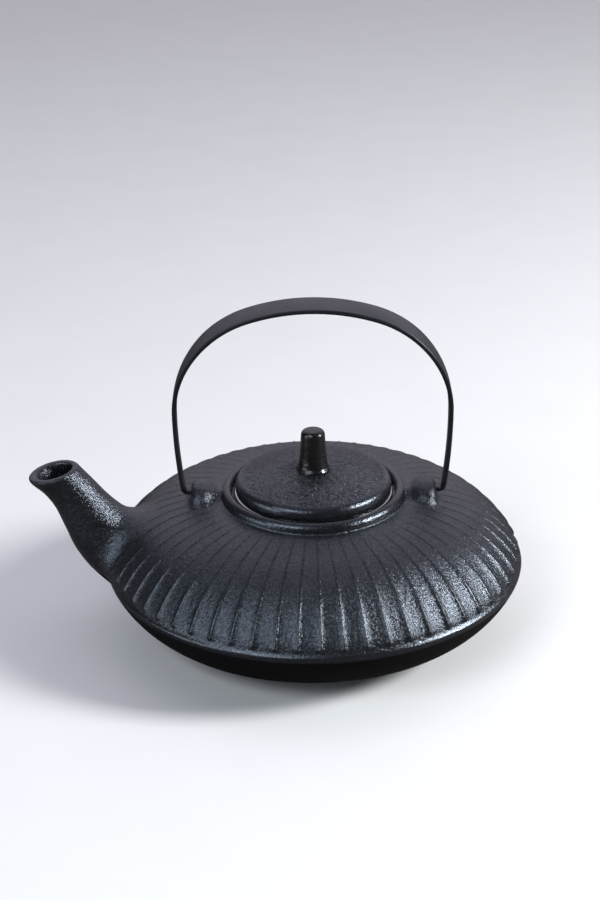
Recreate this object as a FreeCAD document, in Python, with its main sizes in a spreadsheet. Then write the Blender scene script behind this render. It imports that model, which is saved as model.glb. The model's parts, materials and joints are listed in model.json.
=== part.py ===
"""Cast-iron side-spout teapot with a bail handle, a screwed-on lid knob and a lift-out mesh infuser.

Millimetres, +Z up. The origin is the centre of the foot ring on the table, the spout points along -X and
the bail handle stands upright over the lid, hinged about an axis along X. Every sub-part is one object
whose sizes are bound to the Sizes sheet.
"""
import FreeCAD
import Part
import Sketcher

import math
import os
import re

SIZES = {
    # pot casting: foot, underside, rim and dome
    "body_radius": 90,
    "crease_height": 28.5,
    "foot_radius": 50,
    "foot_width": 4,
    "foot_height": 1.6,
    "underside_start_height": 3,
    "underside_radius": 41,
    "rim_round_radius": 17,
    "rim_top_radius": 87.4,
    "rim_top_height": 35.6,
    "dome_round_radius": 49.7,
    "dome_top_radius": 45.8,
    "dome_top_height": 58.2,
    "wall": 3,
    "floor_thickness": 3.4,
    # pot casting: collar round the opening, and the ledge that the infuser hangs on
    "collar_radius": 37,
    "collar_height": 63.5,
    "collar_edge_round": 1.6,
    "opening_radius": 35.2,
    "ledge_height": 60,
    "throat_radius": 32,
    # pot casting: spout, as round sections from the root to the mouth; tilt 0 is a level section
    "root_x": -70,
    "root_height": 27,
    "root_radius": 13,
    "root_tilt": 52,
    "heel_x": -84.5,
    "heel_height": 36.5,
    "heel_radius": 15,
    "heel_tilt": 45,
    "neck_x": -95.8,
    "neck_height": 49,
    "neck_radius": 12.6,
    "neck_tilt": 35,
    "waist_x": -102.5,
    "waist_height": 60,
    "waist_radius": 10.1,
    "waist_tilt": 29,
    "mouth_x": -110.8,
    "mouth_height": 71.6,
    "mouth_radius": 10.9,
    "mouth_tilt": 12.4,
    "spout_wall": 3.3,
    "mouth_edge_round": 1.2,
    # pot casting: the two lugs that carry the handle
    "lug_inner_x": 39,
    "lug_outer_x": 53,
    "lug_crown_radius": 4.7,
    "lug_half_width": 7.6,
    "lug_root_height": 53,
    "lug_edge_round": 1.5,
    "hinge_height": 61,
    "hinge_hole_radius": 2.3,
    "hinge_hole_depth": 8,
    # bail handle: a bent strap
    "strap_thickness": 1.9,
    "strap_crown_width": 15.7,
    "strap_leg_width": 6.2,
    "strap_tongue_width": 3.7,
    "strap_end_overrun": 5,
    "handle_top_height": 146.3,
    "handle_crown_radius": 88,
    "handle_half_span": 58.4,
    "handle_span_height": 98,
    "handle_foot_x": 55.9,
    "handle_bend_radius": 2,
    "tongue_end_x": 46.5,
    "taper_top_height": 132,
    "taper_bottom_height": 92,
    "tongue_top_height": 63.4,
    # lid casting
    "lid_radius": 33.5,
    "lid_widest_height": 64.85,
    "lid_edge_round": 2.6,
    "lid_top_edge_radius": 31.5,
    "lid_top_edge_height": 67.4,
    "lid_seat_radius": 31.9,
    "lid_side_round": 9,
    "lid_top_round": 124,
    "lid_knob_pad_radius": 8,
    "lid_knob_pad_height": 71.2,
    "knob_seat_height": 71.4,
    "lid_thickness": 3.6,
    "spigot_radius": 30.2,
    "spigot_wall": 2.6,
    "spigot_depth": 5.5,
    # knob, screw and washer
    "knob_foot_radius": 6.6,
    "knob_waist_radius": 5.9,
    "knob_waist_height": 75,
    "knob_top_radius": 4.8,
    "knob_top_height": 89.1,
    "knob_edge_round": 2,
    "screw_radius": 2,
    "screw_hole_radius": 2.15,
    "knob_bore_radius": 2.02,
    "knob_bore_depth": 10,
    "screw_engagement": 8.5,
    "screw_head_radius": 4,
    "screw_head_height": 2.4,
    "screw_slot_width": 1.2,
    "screw_slot_depth": 1.1,
    "washer_radius": 4.5,
    "washer_thickness": 0.8,
    # infuser
    "sheet_thickness": 0.5,
    "flange_radius": 33.3,
    "rolled_edge_radius": 0.85,
    "infuser_radius": 31.4,
    "infuser_collar_height": 12,
    "mesh_thickness": 0.4,
    "mesh_lap": 4,
    "basket_bottom_height": 14,
    "base_ring_height": 5,
    "base_ring_lip": 4,
}

RING_TOLERANCE = 0.01

doc = FreeCAD.newDocument("CastIronTeapot")


def make_sheet(sizes):
    """One row per driving dimension: its name in column A and its value, with that alias, in column B."""
    sheet = doc.addObject("Spreadsheet::Sheet", "Sizes")
    for row, (name, value) in enumerate(sizes.items(), start=1):
        sheet.set(f"A{row}", name)
        sheet.set(f"B{row}", str(value))
        sheet.setAlias(f"B{row}", name)
    doc.recompute()
    return sheet


sheet = make_sheet(SIZES)


def bound(expression):
    """Write each driving dimension named in an expression as a reference to the sheet."""
    return re.sub(r"[a-z_]+", lambda word: f"Sizes.{word[0]}" if word[0] in SIZES else word[0], expression)


def value(expression):
    """The number, in millimetres or degrees, that an expression of driving dimensions has now."""
    return float(sheet.evalExpression(bound(expression)))


def make_body(node):
    body = doc.addObject("PartDesign::Body", "".join(word.title() for word in node.split("_")))
    body.Label = node
    return body


def origin_plane(body, role):
    return next(feature for feature in body.Origin.OriginFeatures if feature.Role == role)


def sketch_on(body, name, role):
    """A sketch on one of the body's own origin planes. On XZ and YZ the sketch's Y axis is the model's Z."""
    sketch = body.newObject("Sketcher::SketchObject", name)
    sketch.AttachmentSupport = (origin_plane(body, role), [""])
    sketch.MapMode = "FlatFace"
    return sketch


def constrain_point(sketch, curve, vertex, x, y):
    """Hold one point of a curve at the place that two expressions give."""
    for kind, axis, expression in (("DistanceX", -2, x), ("DistanceY", -1, y)):
        if value(expression) == 0:
            sketch.addConstraint(Sketcher.Constraint("PointOnObject", curve, vertex, axis))
            continue
        number = sketch.addConstraint(Sketcher.Constraint(kind, -1, 1, curve, vertex, value(expression)))
        sketch.setExpression(f"Constraints[{number}]", bound(expression))


def arc_between(start, end, radius):
    """The shorter arc from start to end as a counter-clockwise sketch curve, turning left for a radius above 0.

    Returns the curve and the numbers of its vertices at start and at end.
    """
    chord = end - start
    left = FreeCAD.Vector(-chord.y, chord.x, 0).normalize()
    rise = math.sqrt(radius ** 2 - (chord.Length / 2) ** 2)
    centre = (start + end) / 2 + left * math.copysign(rise, radius)
    circle = Part.Circle(centre, FreeCAD.Vector(0, 0, 1), abs(radius))
    if radius > 0:
        return Part.ArcOfCircle(circle, circle.parameter(start), circle.parameter(end)), 1, 2
    return Part.ArcOfCircle(circle, circle.parameter(end), circle.parameter(start)), 2, 1


def draw_outline(sketch, corners, closed=True):
    """Draw lines and arcs through the corners and bind every corner and radius to the sheet.

    A corner is (x, y) for a line to the next corner or (x, y, radius) for an arc to it, each an expression.
    A radius that starts with a minus sign makes the arc turn right.
    """
    points = [FreeCAD.Vector(value(corner[0]), value(corner[1]), 0) for corner in corners]
    starts = []
    ends = []
    for index in range(len(corners) if closed else len(corners) - 1):
        start = points[index]
        end = points[(index + 1) % len(points)]
        if len(corners[index]) == 3:
            radius = corners[index][2]
            arc, first, last = arc_between(start, end, value(radius))
            curve = sketch.addGeometry(arc, False)
            number = sketch.addConstraint(Sketcher.Constraint("Radius", curve, abs(value(radius))))
            sketch.setExpression(f"Constraints[{number}]", bound(radius.lstrip("-")))
        else:
            curve = sketch.addGeometry(Part.LineSegment(start, end), False)
            first, last = 1, 2
        constrain_point(sketch, curve, first, corners[index][0], corners[index][1])
        if ends:
            sketch.addConstraint(Sketcher.Constraint("Coincident", *ends[-1], curve, first))
        starts.append((curve, first))
        ends.append((curve, last))
    if closed:
        sketch.addConstraint(Sketcher.Constraint("Coincident", *ends[-1], *starts[0]))
    else:
        constrain_point(sketch, *ends[-1], corners[-1][0], corners[-1][1])


def draw_circle(sketch, x, y, radius):
    centre = FreeCAD.Vector(value(x), value(y), 0)
    circle = Part.Circle(centre, FreeCAD.Vector(0, 0, 1), value(radius))
    curve = sketch.addGeometry(circle, False)
    constrain_point(sketch, curve, 3, x, y)
    number = sketch.addConstraint(Sketcher.Constraint("Radius", curve, value(radius)))
    sketch.setExpression(f"Constraints[{number}]", bound(radius))


def turned(body, kind, name, corners):
    """A PartDesign Revolution or Groove of a closed half-section (radius, height) about the Z axis."""
    sketch = sketch_on(body, name + "Section", "XZ_Plane")
    draw_outline(sketch, corners)
    feature = body.newObject("PartDesign::" + kind, name)
    feature.Profile = (sketch, [""])
    feature.ReferenceAxis = (sketch, ["V_Axis"])
    feature.Angle = 360
    doc.recompute()
    return feature


def fillet_edges(body, name, radius, chooser):
    """Round the edges of the body's present shape that the chooser accepts."""
    base = body.Tip
    chosen = [f"Edge{number}" for number, edge in enumerate(base.Shape.Edges, start=1) if chooser(edge)]
    feature = body.newObject("PartDesign::Fillet", name)
    feature.Base = (base, chosen)
    feature.setExpression("Radius", bound(radius))
    doc.recompute()
    return feature


def is_ring(edge, radius, height):
    """True for a full or part circle about the Z axis with that radius and height."""
    curve = edge.Curve
    return (
        isinstance(curve, Part.Circle)
        and abs(curve.Radius - value(radius)) < RING_TOLERANCE
        and abs(curve.Center.z - value(height)) < RING_TOLERANCE
        and math.hypot(curve.Center.x, curve.Center.y) < RING_TOLERANCE
    )


def round_section(body, name, place, x, height, tilt, radius):
    """A circle in the spout's plane of symmetry, its plane turned about Y by the tilt from level."""
    sketch = sketch_on(body, name + place.title(), "XY_Plane")
    draw_circle(sketch, "0", "0", radius)
    sketch.AttachmentOffset = FreeCAD.Placement(
        FreeCAD.Vector(value(x), 0, value(height)), FreeCAD.Rotation(FreeCAD.Vector(0, 1, 0), -value(tilt))
    )
    sketch.setExpression("AttachmentOffset.Base.x", bound(x))
    sketch.setExpression("AttachmentOffset.Base.z", bound(height))
    return sketch


def spout_loft(body, kind, name, shrink, places):
    """Join round sections along the spout, each smaller than the casting's outside by the shrink."""
    sections = []
    for place in places:
        radius = place + "_radius" + shrink
        height = place + "_height"
        if kind == "SubtractiveLoft" and place == "mouth":
            height += " + mouth_edge_round"
        sections.append(round_section(body, name, place, place + "_x", height, place + "_tilt", radius))
    loft = body.newObject("PartDesign::" + kind, name)
    loft.Profile = (sections[0], [""])
    loft.Sections = [(section, [""]) for section in sections[1:]]
    doc.recompute()
    return loft


SPOUT_PLACES = ["root", "heel", "neck", "waist", "mouth"]


def add_pot_outside(body):
    turned(body, "Revolution", "Outside", [
        ("0", "foot_height"),
        ("foot_radius - foot_width", "foot_height"),
        ("foot_radius - foot_width", "0"),
        ("foot_radius", "0"),
        ("foot_radius", "underside_start_height", "underside_radius"),
        ("body_radius", "crease_height", "rim_round_radius"),
        ("rim_top_radius", "rim_top_height", "dome_round_radius"),
        ("dome_top_radius", "dome_top_height"),
        ("collar_radius + collar_height - dome_top_height", "dome_top_height", "collar_height - dome_top_height"),
        ("collar_radius", "collar_height"),
        ("0", "collar_height"),
    ])


def add_lugs(body):
    """A round-topped knuckle at +X, square to the hinge axis, and its mirror image at -X."""
    sketch = sketch_on(body, "LugSection", "YZ_Plane")
    crown_height = "hinge_height + lug_crown_radius"
    draw_outline(sketch, [
        ("-lug_half_width", "lug_root_height"),
        ("lug_half_width", "lug_root_height"),
        ("lug_crown_radius", "hinge_height", "lug_crown_radius"),
        ("0", crown_height, "lug_crown_radius"),
        ("-lug_crown_radius", "hinge_height"),
    ])
    sketch.AttachmentOffset = FreeCAD.Placement(FreeCAD.Vector(0, 0, value("lug_inner_x")), FreeCAD.Rotation())
    sketch.setExpression("AttachmentOffset.Base.z", bound("lug_inner_x"))
    lug = body.newObject("PartDesign::Pad", "Lug")
    lug.Profile = (sketch, [""])
    lug.setExpression("Length", bound("lug_outer_x - lug_inner_x"))
    mirrored = body.newObject("PartDesign::Mirrored", "LugPair")
    mirrored.Originals = [lug]
    mirrored.MirrorPlane = (origin_plane(body, "YZ_Plane"), [""])
    body.Tip = mirrored
    doc.recompute()
    outer_x = value("lug_outer_x")
    fillet_edges(
        body, "LugEdges", "lug_edge_round",
        lambda edge: all(abs(abs(vertex.X) - outer_x) < RING_TOLERANCE for vertex in edge.Vertexes)
        and edge.CenterOfMass.z > value("dome_top_height"),
    )


def hollow_pot(body):
    """Water space, throat, infuser ledge and opening in one cut that follows the outside at wall thickness."""
    turned(body, "Groove", "WaterSpace", [
        ("0", "foot_height + floor_thickness"),
        ("foot_radius", "foot_height + floor_thickness", "underside_radius - wall"),
        ("body_radius - wall", "crease_height + wall / 3", "rim_round_radius"),
        ("rim_top_radius - wall", "rim_top_height", "dome_round_radius - wall"),
        ("dome_top_radius", "dome_top_height - wall"),
        ("throat_radius", "dome_top_height - wall"),
        ("throat_radius", "ledge_height"),
        ("opening_radius", "ledge_height"),
        ("opening_radius", "collar_height + wall"),
        ("0", "collar_height + wall"),
    ])
    fillet_edges(
        body, "CollarEdge", "collar_edge_round",
        lambda edge: is_ring(edge, "opening_radius", "collar_height"),
    )


def drill_hinge_holes(body):
    """Blind holes along X from the outer face of each lug; the cut runs on past that face."""
    sketch = sketch_on(body, "HingeHoleCircle", "YZ_Plane")
    draw_circle(sketch, "0", "hinge_height", "hinge_hole_radius")
    bottom = "lug_outer_x - hinge_hole_depth"
    sketch.AttachmentOffset = FreeCAD.Placement(FreeCAD.Vector(0, 0, value(bottom)), FreeCAD.Rotation())
    sketch.setExpression("AttachmentOffset.Base.z", bound(bottom))
    hole = body.newObject("PartDesign::Pocket", "HingeHole")
    hole.Profile = (sketch, [""])
    hole.Reversed = True
    hole.setExpression("Length", bound("hinge_hole_depth + wall"))
    mirrored = body.newObject("PartDesign::Mirrored", "HingeHolePair")
    mirrored.Originals = [hole]
    mirrored.MirrorPlane = (origin_plane(body, "YZ_Plane"), [""])
    body.Tip = mirrored
    doc.recompute()


def make_pot_casting():
    body = make_body("pot_casting")
    add_pot_outside(body)
    spout_loft(body, "AdditiveLoft", "SpoutOutside", "", SPOUT_PLACES)
    add_lugs(body)
    hollow_pot(body)
    spout_loft(body, "SubtractiveLoft", "SpoutBore", " - spout_wall", SPOUT_PLACES)
    drill_hinge_holes(body)
    return body


def draw_half_handle_path(sketch):
    """Middle line of the strap at +X: tongue, bend, leg, shoulder and crown, each tangent to the next."""
    hinge = value("hinge_height")
    foot = value("handle_foot_x")
    span = value("handle_half_span")
    span_height = value("handle_span_height")
    bend = value("handle_bend_radius")
    crown = value("handle_crown_radius")
    top_expression = "handle_top_height - strap_thickness / 2"
    top = value(top_expression)

    leg = ((span_height - hinge - bend) ** 2 + (span - foot) ** 2) / (2 * (span - foot))
    shoulder = (crown ** 2 - span ** 2 - (span_height - top + crown) ** 2) / (2 * (crown - span))
    lean = math.asin((span_height - hinge - bend) / leg)
    crown_centre = FreeCAD.Vector(0, top - crown, 0)
    shoulder_centre = FreeCAD.Vector(span - shoulder, span_height, 0)
    across = shoulder_centre - crown_centre
    crown_turn = math.atan2(across.y, across.x)

    arcs = [
        (FreeCAD.Vector(foot - bend, hinge + bend, 0), bend, -math.pi / 2, -lean),
        (FreeCAD.Vector(span - leg, span_height, 0), leg, -lean, 0),
        (shoulder_centre, shoulder, 0, crown_turn),
        (crown_centre, crown, crown_turn, math.pi / 2),
    ]
    tongue = sketch.addGeometry(
        Part.LineSegment(FreeCAD.Vector(value("tongue_end_x"), hinge, 0), FreeCAD.Vector(foot - bend, hinge, 0)),
        False,
    )
    curves = [tongue]
    for centre, radius, start, end in arcs:
        circle = Part.Circle(centre, FreeCAD.Vector(0, 0, 1), radius)
        curves.append(sketch.addGeometry(Part.ArcOfCircle(circle, start, end), False))
    for before, after in zip(curves, curves[1:]):
        sketch.addConstraint(Sketcher.Constraint("Tangent", before, 2, after, 1))
    tongue, bend_curve, leg_curve, shoulder_curve, crown_curve = curves

    constrain_point(sketch, tongue, 1, "tongue_end_x", "hinge_height")
    sketch.addConstraint(Sketcher.Constraint("Horizontal", tongue))
    for curve, expression in ((bend_curve, "handle_bend_radius"), (crown_curve, "handle_crown_radius")):
        number = sketch.addConstraint(Sketcher.Constraint("Radius", curve, value(expression)))
        sketch.setExpression(f"Constraints[{number}]", bound(expression))
    number = sketch.addConstraint(Sketcher.Constraint("DistanceX", -1, 1, leg_curve, 1, foot))
    sketch.setExpression(f"Constraints[{number}]", bound("handle_foot_x"))
    constrain_point(sketch, leg_curve, 2, "handle_half_span", "handle_span_height")
    sketch.addConstraint(Sketcher.Constraint("Horizontal", leg_curve, 2, leg_curve, 3))
    constrain_point(sketch, crown_curve, 2, "0", top_expression)
    sketch.addConstraint(Sketcher.Constraint("PointOnObject", crown_curve, 3, -2))


def make_bail_handle():
    """Flat strap bent to an arch; its ends narrow to tongues that turn inward into the lug holes."""
    body = make_body("bail_handle")
    path = sketch_on(body, "StrapPath", "XZ_Plane")
    draw_half_handle_path(path)
    section = sketch_on(body, "StrapSection", "YZ_Plane")
    half_width = "strap_crown_width / 2"
    low = "hinge_height - strap_thickness / 2"
    high = "hinge_height + strap_thickness / 2"
    draw_outline(section, [("-" + half_width, low), (half_width, low), (half_width, high), ("-" + half_width, high)])
    section.AttachmentOffset = FreeCAD.Placement(FreeCAD.Vector(0, 0, value("tongue_end_x")), FreeCAD.Rotation())
    section.setExpression("AttachmentOffset.Base.z", bound("tongue_end_x"))
    strap = body.newObject("PartDesign::AdditivePipe", "Strap")
    strap.Profile = (section, [""])
    strap.Spine = (path, [""])
    doc.recompute()

    waste = sketch_on(body, "TaperWaste", "YZ_Plane")
    outside = "strap_crown_width / 2 + strap_end_overrun"
    bottom = "hinge_height - strap_end_overrun"
    for side in ("", "-"):
        draw_outline(waste, [
            (side + "strap_tongue_width / 2", bottom),
            (side + "(" + outside + ")", bottom),
            (side + "(" + outside + ")", "taper_top_height"),
            (side + "strap_crown_width / 2", "taper_top_height"),
            (side + "strap_leg_width / 2", "taper_bottom_height"),
            (side + "strap_leg_width / 2", "tongue_top_height + strap_thickness"),
            (side + "strap_tongue_width / 2", "tongue_top_height"),
        ])
    taper = body.newObject("PartDesign::Pocket", "Taper")
    taper.Profile = (waste, [""])
    taper.SideType = "Symmetric"
    taper.setExpression("Length", bound("handle_half_span * 4"))
    doc.recompute()

    mirrored = body.newObject("PartDesign::Mirrored", "BothLegs")
    mirrored.Originals = []
    mirrored.TransformMode = "Whole shape"
    mirrored.MirrorPlane = (origin_plane(body, "YZ_Plane"), [""])
    body.Tip = mirrored
    doc.recompute()
    return body


def make_lid_casting():
    """Low domed disc with a rounded edge, a spigot that drops into the infuser and a hole for the screw."""
    body = make_body("lid_casting")
    seat = "ledge_height + sheet_thickness"
    spigot_bottom = seat + " - spigot_depth"
    spigot_inside = "spigot_radius - spigot_wall"
    under_knob = "knob_seat_height - lid_thickness"
    turned(body, "Revolution", "Lid", [
        ("screw_hole_radius", under_knob),
        ("lid_knob_pad_radius", under_knob),
        (spigot_inside, "lid_top_edge_height - lid_thickness"),
        (spigot_inside, spigot_bottom),
        ("spigot_radius", spigot_bottom),
        ("spigot_radius", seat),
        ("lid_seat_radius", seat, "lid_side_round"),
        ("lid_radius", "lid_widest_height", "lid_edge_round"),
        ("lid_top_edge_radius", "lid_top_edge_height", "lid_top_round"),
        ("lid_knob_pad_radius", "lid_knob_pad_height"),
        ("knob_foot_radius", "knob_seat_height"),
        ("screw_hole_radius", "knob_seat_height"),
    ])
    return body


def make_lid_knob():
    """Tapered finger knob with a rounded top and a blind threaded bore from below."""
    body = make_body("lid_knob")
    bore_top = "knob_seat_height + knob_bore_depth"
    turned(body, "Revolution", "Knob", [
        ("knob_bore_radius", "knob_seat_height"),
        ("knob_foot_radius", "knob_seat_height"),
        ("knob_waist_radius", "knob_waist_height"),
        ("knob_top_radius", "knob_top_height - knob_edge_round", "knob_edge_round"),
        ("knob_top_radius - knob_edge_round", "knob_top_height"),
        ("0", "knob_top_height"),
        ("0", bore_top),
        ("knob_bore_radius", bore_top),
    ])
    return body


def make_knob_screw():
    """Slotted pan-head screw from inside the lid up into the knob, thread drawn as a plain shank."""
    body = make_body("knob_screw")
    under_washer = "knob_seat_height - lid_thickness - washer_thickness"
    head_bottom = under_washer + " - screw_head_height"
    turned(body, "Revolution", "HeadAndShank", [
        ("0", head_bottom),
        ("screw_head_radius - screw_slot_depth", head_bottom, "screw_slot_depth"),
        ("screw_head_radius", head_bottom + " + screw_slot_depth"),
        ("screw_head_radius", under_washer),
        ("screw_radius", under_washer),
        ("screw_radius", "knob_seat_height + screw_engagement"),
        ("0", "knob_seat_height + screw_engagement"),
    ])
    slot = sketch_on(body, "SlotOutline", "YZ_Plane")
    half_width = "screw_slot_width / 2"
    slot_top = head_bottom + " + screw_slot_depth"
    slot_bottom = head_bottom + " - screw_slot_depth"
    draw_outline(slot, [
        ("-" + half_width, slot_bottom),
        (half_width, slot_bottom),
        (half_width, slot_top),
        ("-" + half_width, slot_top),
    ])
    cut = body.newObject("PartDesign::Pocket", "Slot")
    cut.Profile = (slot, [""])
    cut.SideType = "Symmetric"
    cut.setExpression("Length", bound("screw_head_radius * 4"))
    doc.recompute()
    return body


def make_knob_washer():
    body = make_body("knob_washer")
    top = "knob_seat_height - lid_thickness"
    bottom = top + " - washer_thickness"
    turned(body, "Revolution", "Washer", [
        ("screw_hole_radius", bottom),
        ("washer_radius", bottom),
        ("washer_radius", top),
        ("screw_hole_radius", top),
    ])
    return body


def make_infuser_rim_collar():
    """Stamped steel ring: a short tube, a flange that hangs on the pot's ledge and a rolled edge."""
    body = make_body("infuser_rim_collar")
    tube_inside = "infuser_radius - sheet_thickness"
    tube_bottom = "ledge_height - infuser_collar_height"
    flange_top = "ledge_height + sheet_thickness"
    roll_middle = "ledge_height + rolled_edge_radius"
    roll_top = "ledge_height + 2 * rolled_edge_radius"
    roll_start = "flange_radius - sqrt(rolled_edge_radius ^ 2 - (rolled_edge_radius - sheet_thickness) ^ 2)"
    turned(body, "Revolution", "RimCollar", [
        (tube_inside, tube_bottom),
        ("infuser_radius", tube_bottom),
        ("infuser_radius", "ledge_height"),
        ("flange_radius", "ledge_height", "rolled_edge_radius"),
        ("flange_radius + rolled_edge_radius", roll_middle, "rolled_edge_radius"),
        ("flange_radius", roll_top, "rolled_edge_radius"),
        (roll_start, flange_top),
        (tube_inside, flange_top),
    ])
    return body


def make_infuser_mesh_wall():
    """Envelope of the woven wire wall: a thin sleeve that laps inside the rim collar."""
    body = make_body("infuser_mesh_wall")
    outside = "infuser_radius - sheet_thickness"
    inside = outside + " - mesh_thickness"
    bottom = "basket_bottom_height + sheet_thickness"
    top = "ledge_height - infuser_collar_height + mesh_lap"
    turned(body, "Revolution", "MeshSleeve", [(inside, bottom), (outside, bottom), (outside, top), (inside, top)])
    return body


def make_infuser_base_ring():
    """Crimp band of L section that holds the base mesh to the bottom of the wall."""
    body = make_body("infuser_base_ring")
    inside = "infuser_radius - sheet_thickness"
    lip_inside = inside + " - base_ring_lip"
    lip_top = "basket_bottom_height + sheet_thickness"
    top = "basket_bottom_height + base_ring_height"
    turned(body, "Revolution", "BaseRing", [
        (lip_inside, "basket_bottom_height"),
        ("infuser_radius", "basket_bottom_height"),
        ("infuser_radius", top),
        (inside, top),
        (inside, lip_top),
        (lip_inside, lip_top),
    ])
    return body


def make_infuser_base_mesh():
    """Envelope of the woven wire disc that closes the basket."""
    body = make_body("infuser_base_mesh")
    radius = "infuser_radius - sheet_thickness - mesh_thickness"
    bottom = "basket_bottom_height + sheet_thickness"
    top = bottom + " + mesh_thickness"
    turned(body, "Revolution", "MeshDisc", [("0", bottom), (radius, bottom), (radius, top), ("0", top)])
    return body


def check_and_write(bodies):
    """Stop on any failed object or faulty solid, then write one STEP file for each sub-part."""
    doc.recompute()
    failed = [item.Name for item in doc.Objects if {"Invalid", "Error"} & set(item.State)]
    if failed:
        raise RuntimeError(f"failed objects: {failed}")
    os.makedirs("parts", exist_ok=True)
    for body in bodies:
        shape = body.Shape
        if shape.isNull() or not shape.isValid() or len(shape.Solids) != 1:
            raise RuntimeError(f"{body.Label} isn't one valid solid")
        shape.exportStep(f"parts/{body.Label}.step")
        print(f"{body.Label}: {shape.Volume:.1f} mm3")


check_and_write([
    make_pot_casting(),
    make_bail_handle(),
    make_lid_casting(),
    make_lid_knob(),
    make_knob_screw(),
    make_knob_washer(),
    make_infuser_rim_collar(),
    make_infuser_mesh_wall(),
    make_infuser_base_ring(),
    make_infuser_base_mesh(),
])
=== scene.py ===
"""Looks of the cast-iron teapot with its infuser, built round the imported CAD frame.

Mesh code works in millimetres in the CAD frame, +Z up with the spout along -X, and is scaled to metres
when a mesh is made. The pot is one implicit surface, so the spout and the lugs grow out of the body as
they do in a casting; the other pieces are turned, swept or woven.
"""
import json
import math

import bmesh
import bpy
import numpy as np
from mathutils import Matrix, Vector


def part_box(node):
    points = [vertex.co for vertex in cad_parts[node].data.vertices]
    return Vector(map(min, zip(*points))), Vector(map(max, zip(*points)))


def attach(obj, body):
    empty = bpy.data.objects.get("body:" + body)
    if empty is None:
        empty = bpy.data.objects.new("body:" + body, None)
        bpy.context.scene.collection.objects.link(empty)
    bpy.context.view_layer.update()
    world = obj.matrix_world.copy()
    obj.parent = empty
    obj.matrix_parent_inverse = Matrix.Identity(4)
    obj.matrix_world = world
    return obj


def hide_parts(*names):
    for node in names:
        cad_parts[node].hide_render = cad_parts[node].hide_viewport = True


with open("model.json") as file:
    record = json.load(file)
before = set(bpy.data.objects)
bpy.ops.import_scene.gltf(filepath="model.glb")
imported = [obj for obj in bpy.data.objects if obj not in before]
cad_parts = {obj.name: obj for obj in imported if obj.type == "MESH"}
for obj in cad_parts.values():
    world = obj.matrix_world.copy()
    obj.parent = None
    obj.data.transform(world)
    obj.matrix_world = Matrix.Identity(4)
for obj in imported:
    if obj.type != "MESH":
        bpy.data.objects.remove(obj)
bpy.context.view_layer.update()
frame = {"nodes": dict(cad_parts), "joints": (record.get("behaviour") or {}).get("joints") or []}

MM = 0.001
SAME_PLACE = 1e-7


def box_mm(node):
    """Lowest and highest corner of a CAD node, in millimetres."""
    low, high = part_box(node)
    return np.array(low) / MM, np.array(high) / MM


# ---------------------------------------------------------------------------------------------------------
# Sizes, in millimetres. The driving ones are read from the frame and the others are the casting's own.
# ---------------------------------------------------------------------------------------------------------
POT_HIGH = box_mm("pot_casting")[1]
LID_LOW, LID_HIGH = box_mm("lid_casting")
KNOB_LOW, KNOB_HIGH = box_mm("lid_knob")
HANDLE_HIGH = box_mm("bail_handle")[1]
RIM_LOW = box_mm("infuser_rim_collar")[0]
WALL_LOW, WALL_HIGH = box_mm("infuser_mesh_wall")
DISC_LOW, DISC_HIGH = box_mm("infuser_base_mesh")
HINGE_HEIGHT = next(joint["pos_m"][2] for joint in frame["joints"] if joint["name"] == "handle_fold") / MM

# Body: a curved underside and a dome meet in a crease at the widest place.
BODY_RADIUS = POT_HIGH[0]
WALL = 3.0
CREASE_HEIGHT = 28.5
CREASE_ROUND = 0.9
UNDERSIDE_ROUND = 41.0
UNDERSIDE_CENTRE = (52.0, 43.9)
DOME_ROUND = 49.7
DOME_CENTRE = (45.8, 8.5)
RIM_ROUND = 17.0
RIM_SPLIT_ANGLE = math.radians(33.1)
FLOOR_HEIGHT = 5.0
FOOT_RADIUS = 50.0
FOOT_WIDTH = 4.0
BASE_HEIGHT = 1.6
FOOT_BLEND = 1.2

# Bead along the rim, just above the crease.
RIM_BEAD_ROUND = 1.2
RIM_BEAD_CENTRE = (BODY_RADIUS - RIM_BEAD_ROUND, CREASE_HEIGHT + 0.6)
RIM_BEAD_BLEND = 1.8

# Flutes between narrow ribs. Each pair of radii or heights is where a change starts and where it ends.
FLUTE_COUNT = 60
FLUTE_DEPTH = 0.9
FLOOR_SHARE = 0.65
FIRST_CUSP = math.radians(-88.85)
RIB_POWERS = (10.0, 4.0)
RIBS_WIDEN = (56.0, 84.0)
RIBS_END = (CREASE_HEIGHT + 3.2, CREASE_HEIGHT + 4.8)
FAINT_SHARE = 0.22
FLUTES_START = (42.0, 52.0)
FLUTES_DEEPEN = (64.0, 87.0)

# Opening with its collar, throat and the ledge that the infuser hangs on.
COLLAR_CENTRE = (36.2, 60.4)
COLLAR_ROUND = 3.1
COLLAR_BLEND = 1.4
COLLAR_SWELL = 0.8
SWELL_FADES = (41.0, 54.0)
OPENING_RADIUS = 35.2
LEDGE_HEIGHT = RIM_LOW[2] + 12.0
THROAT_RADIUS = 32.0
THROAT_LOW = 50.0
OPENING_EDGE_ROUND = 2.2

# Spout: (x, z) points along its middle, and the radius, the widening across and the wall at each of them.
SPOUT_POINTS = [
    (-66.0, 29.0), (-81.5, 34.6), (-90.0, 41.2), (-96.5, 50.4),
    (-102.5, 60.4), (-108.2, 68.0), (-112.4, 74.0),
]
SPOUT_RADII = [14.5, 16.2, 14.4, 11.9, 10.1, 9.6, 11.0]
SPOUT_WIDENING = [0.95, 0.93, 0.95, 0.98, 1.0, 1.04, 1.02]
SPOUT_WALLS = [3.5, 4.0, 4.0, 3.8, 3.3, 2.9, 3.6]
SPOUT_SAMPLES = 96
SPOUT_SIDE = math.radians(13)
SPOUT_BLEND = 8.0
MOUTH_CENTRE = (-110.8, 71.7)
MOUTH_TILT = math.radians(12.4)
MOUTH_LIP_ROUND = 1.5
MOUTH_EDGE_ROUND = 1.3
MOUTH_SIDE_X = -80.0

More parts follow.
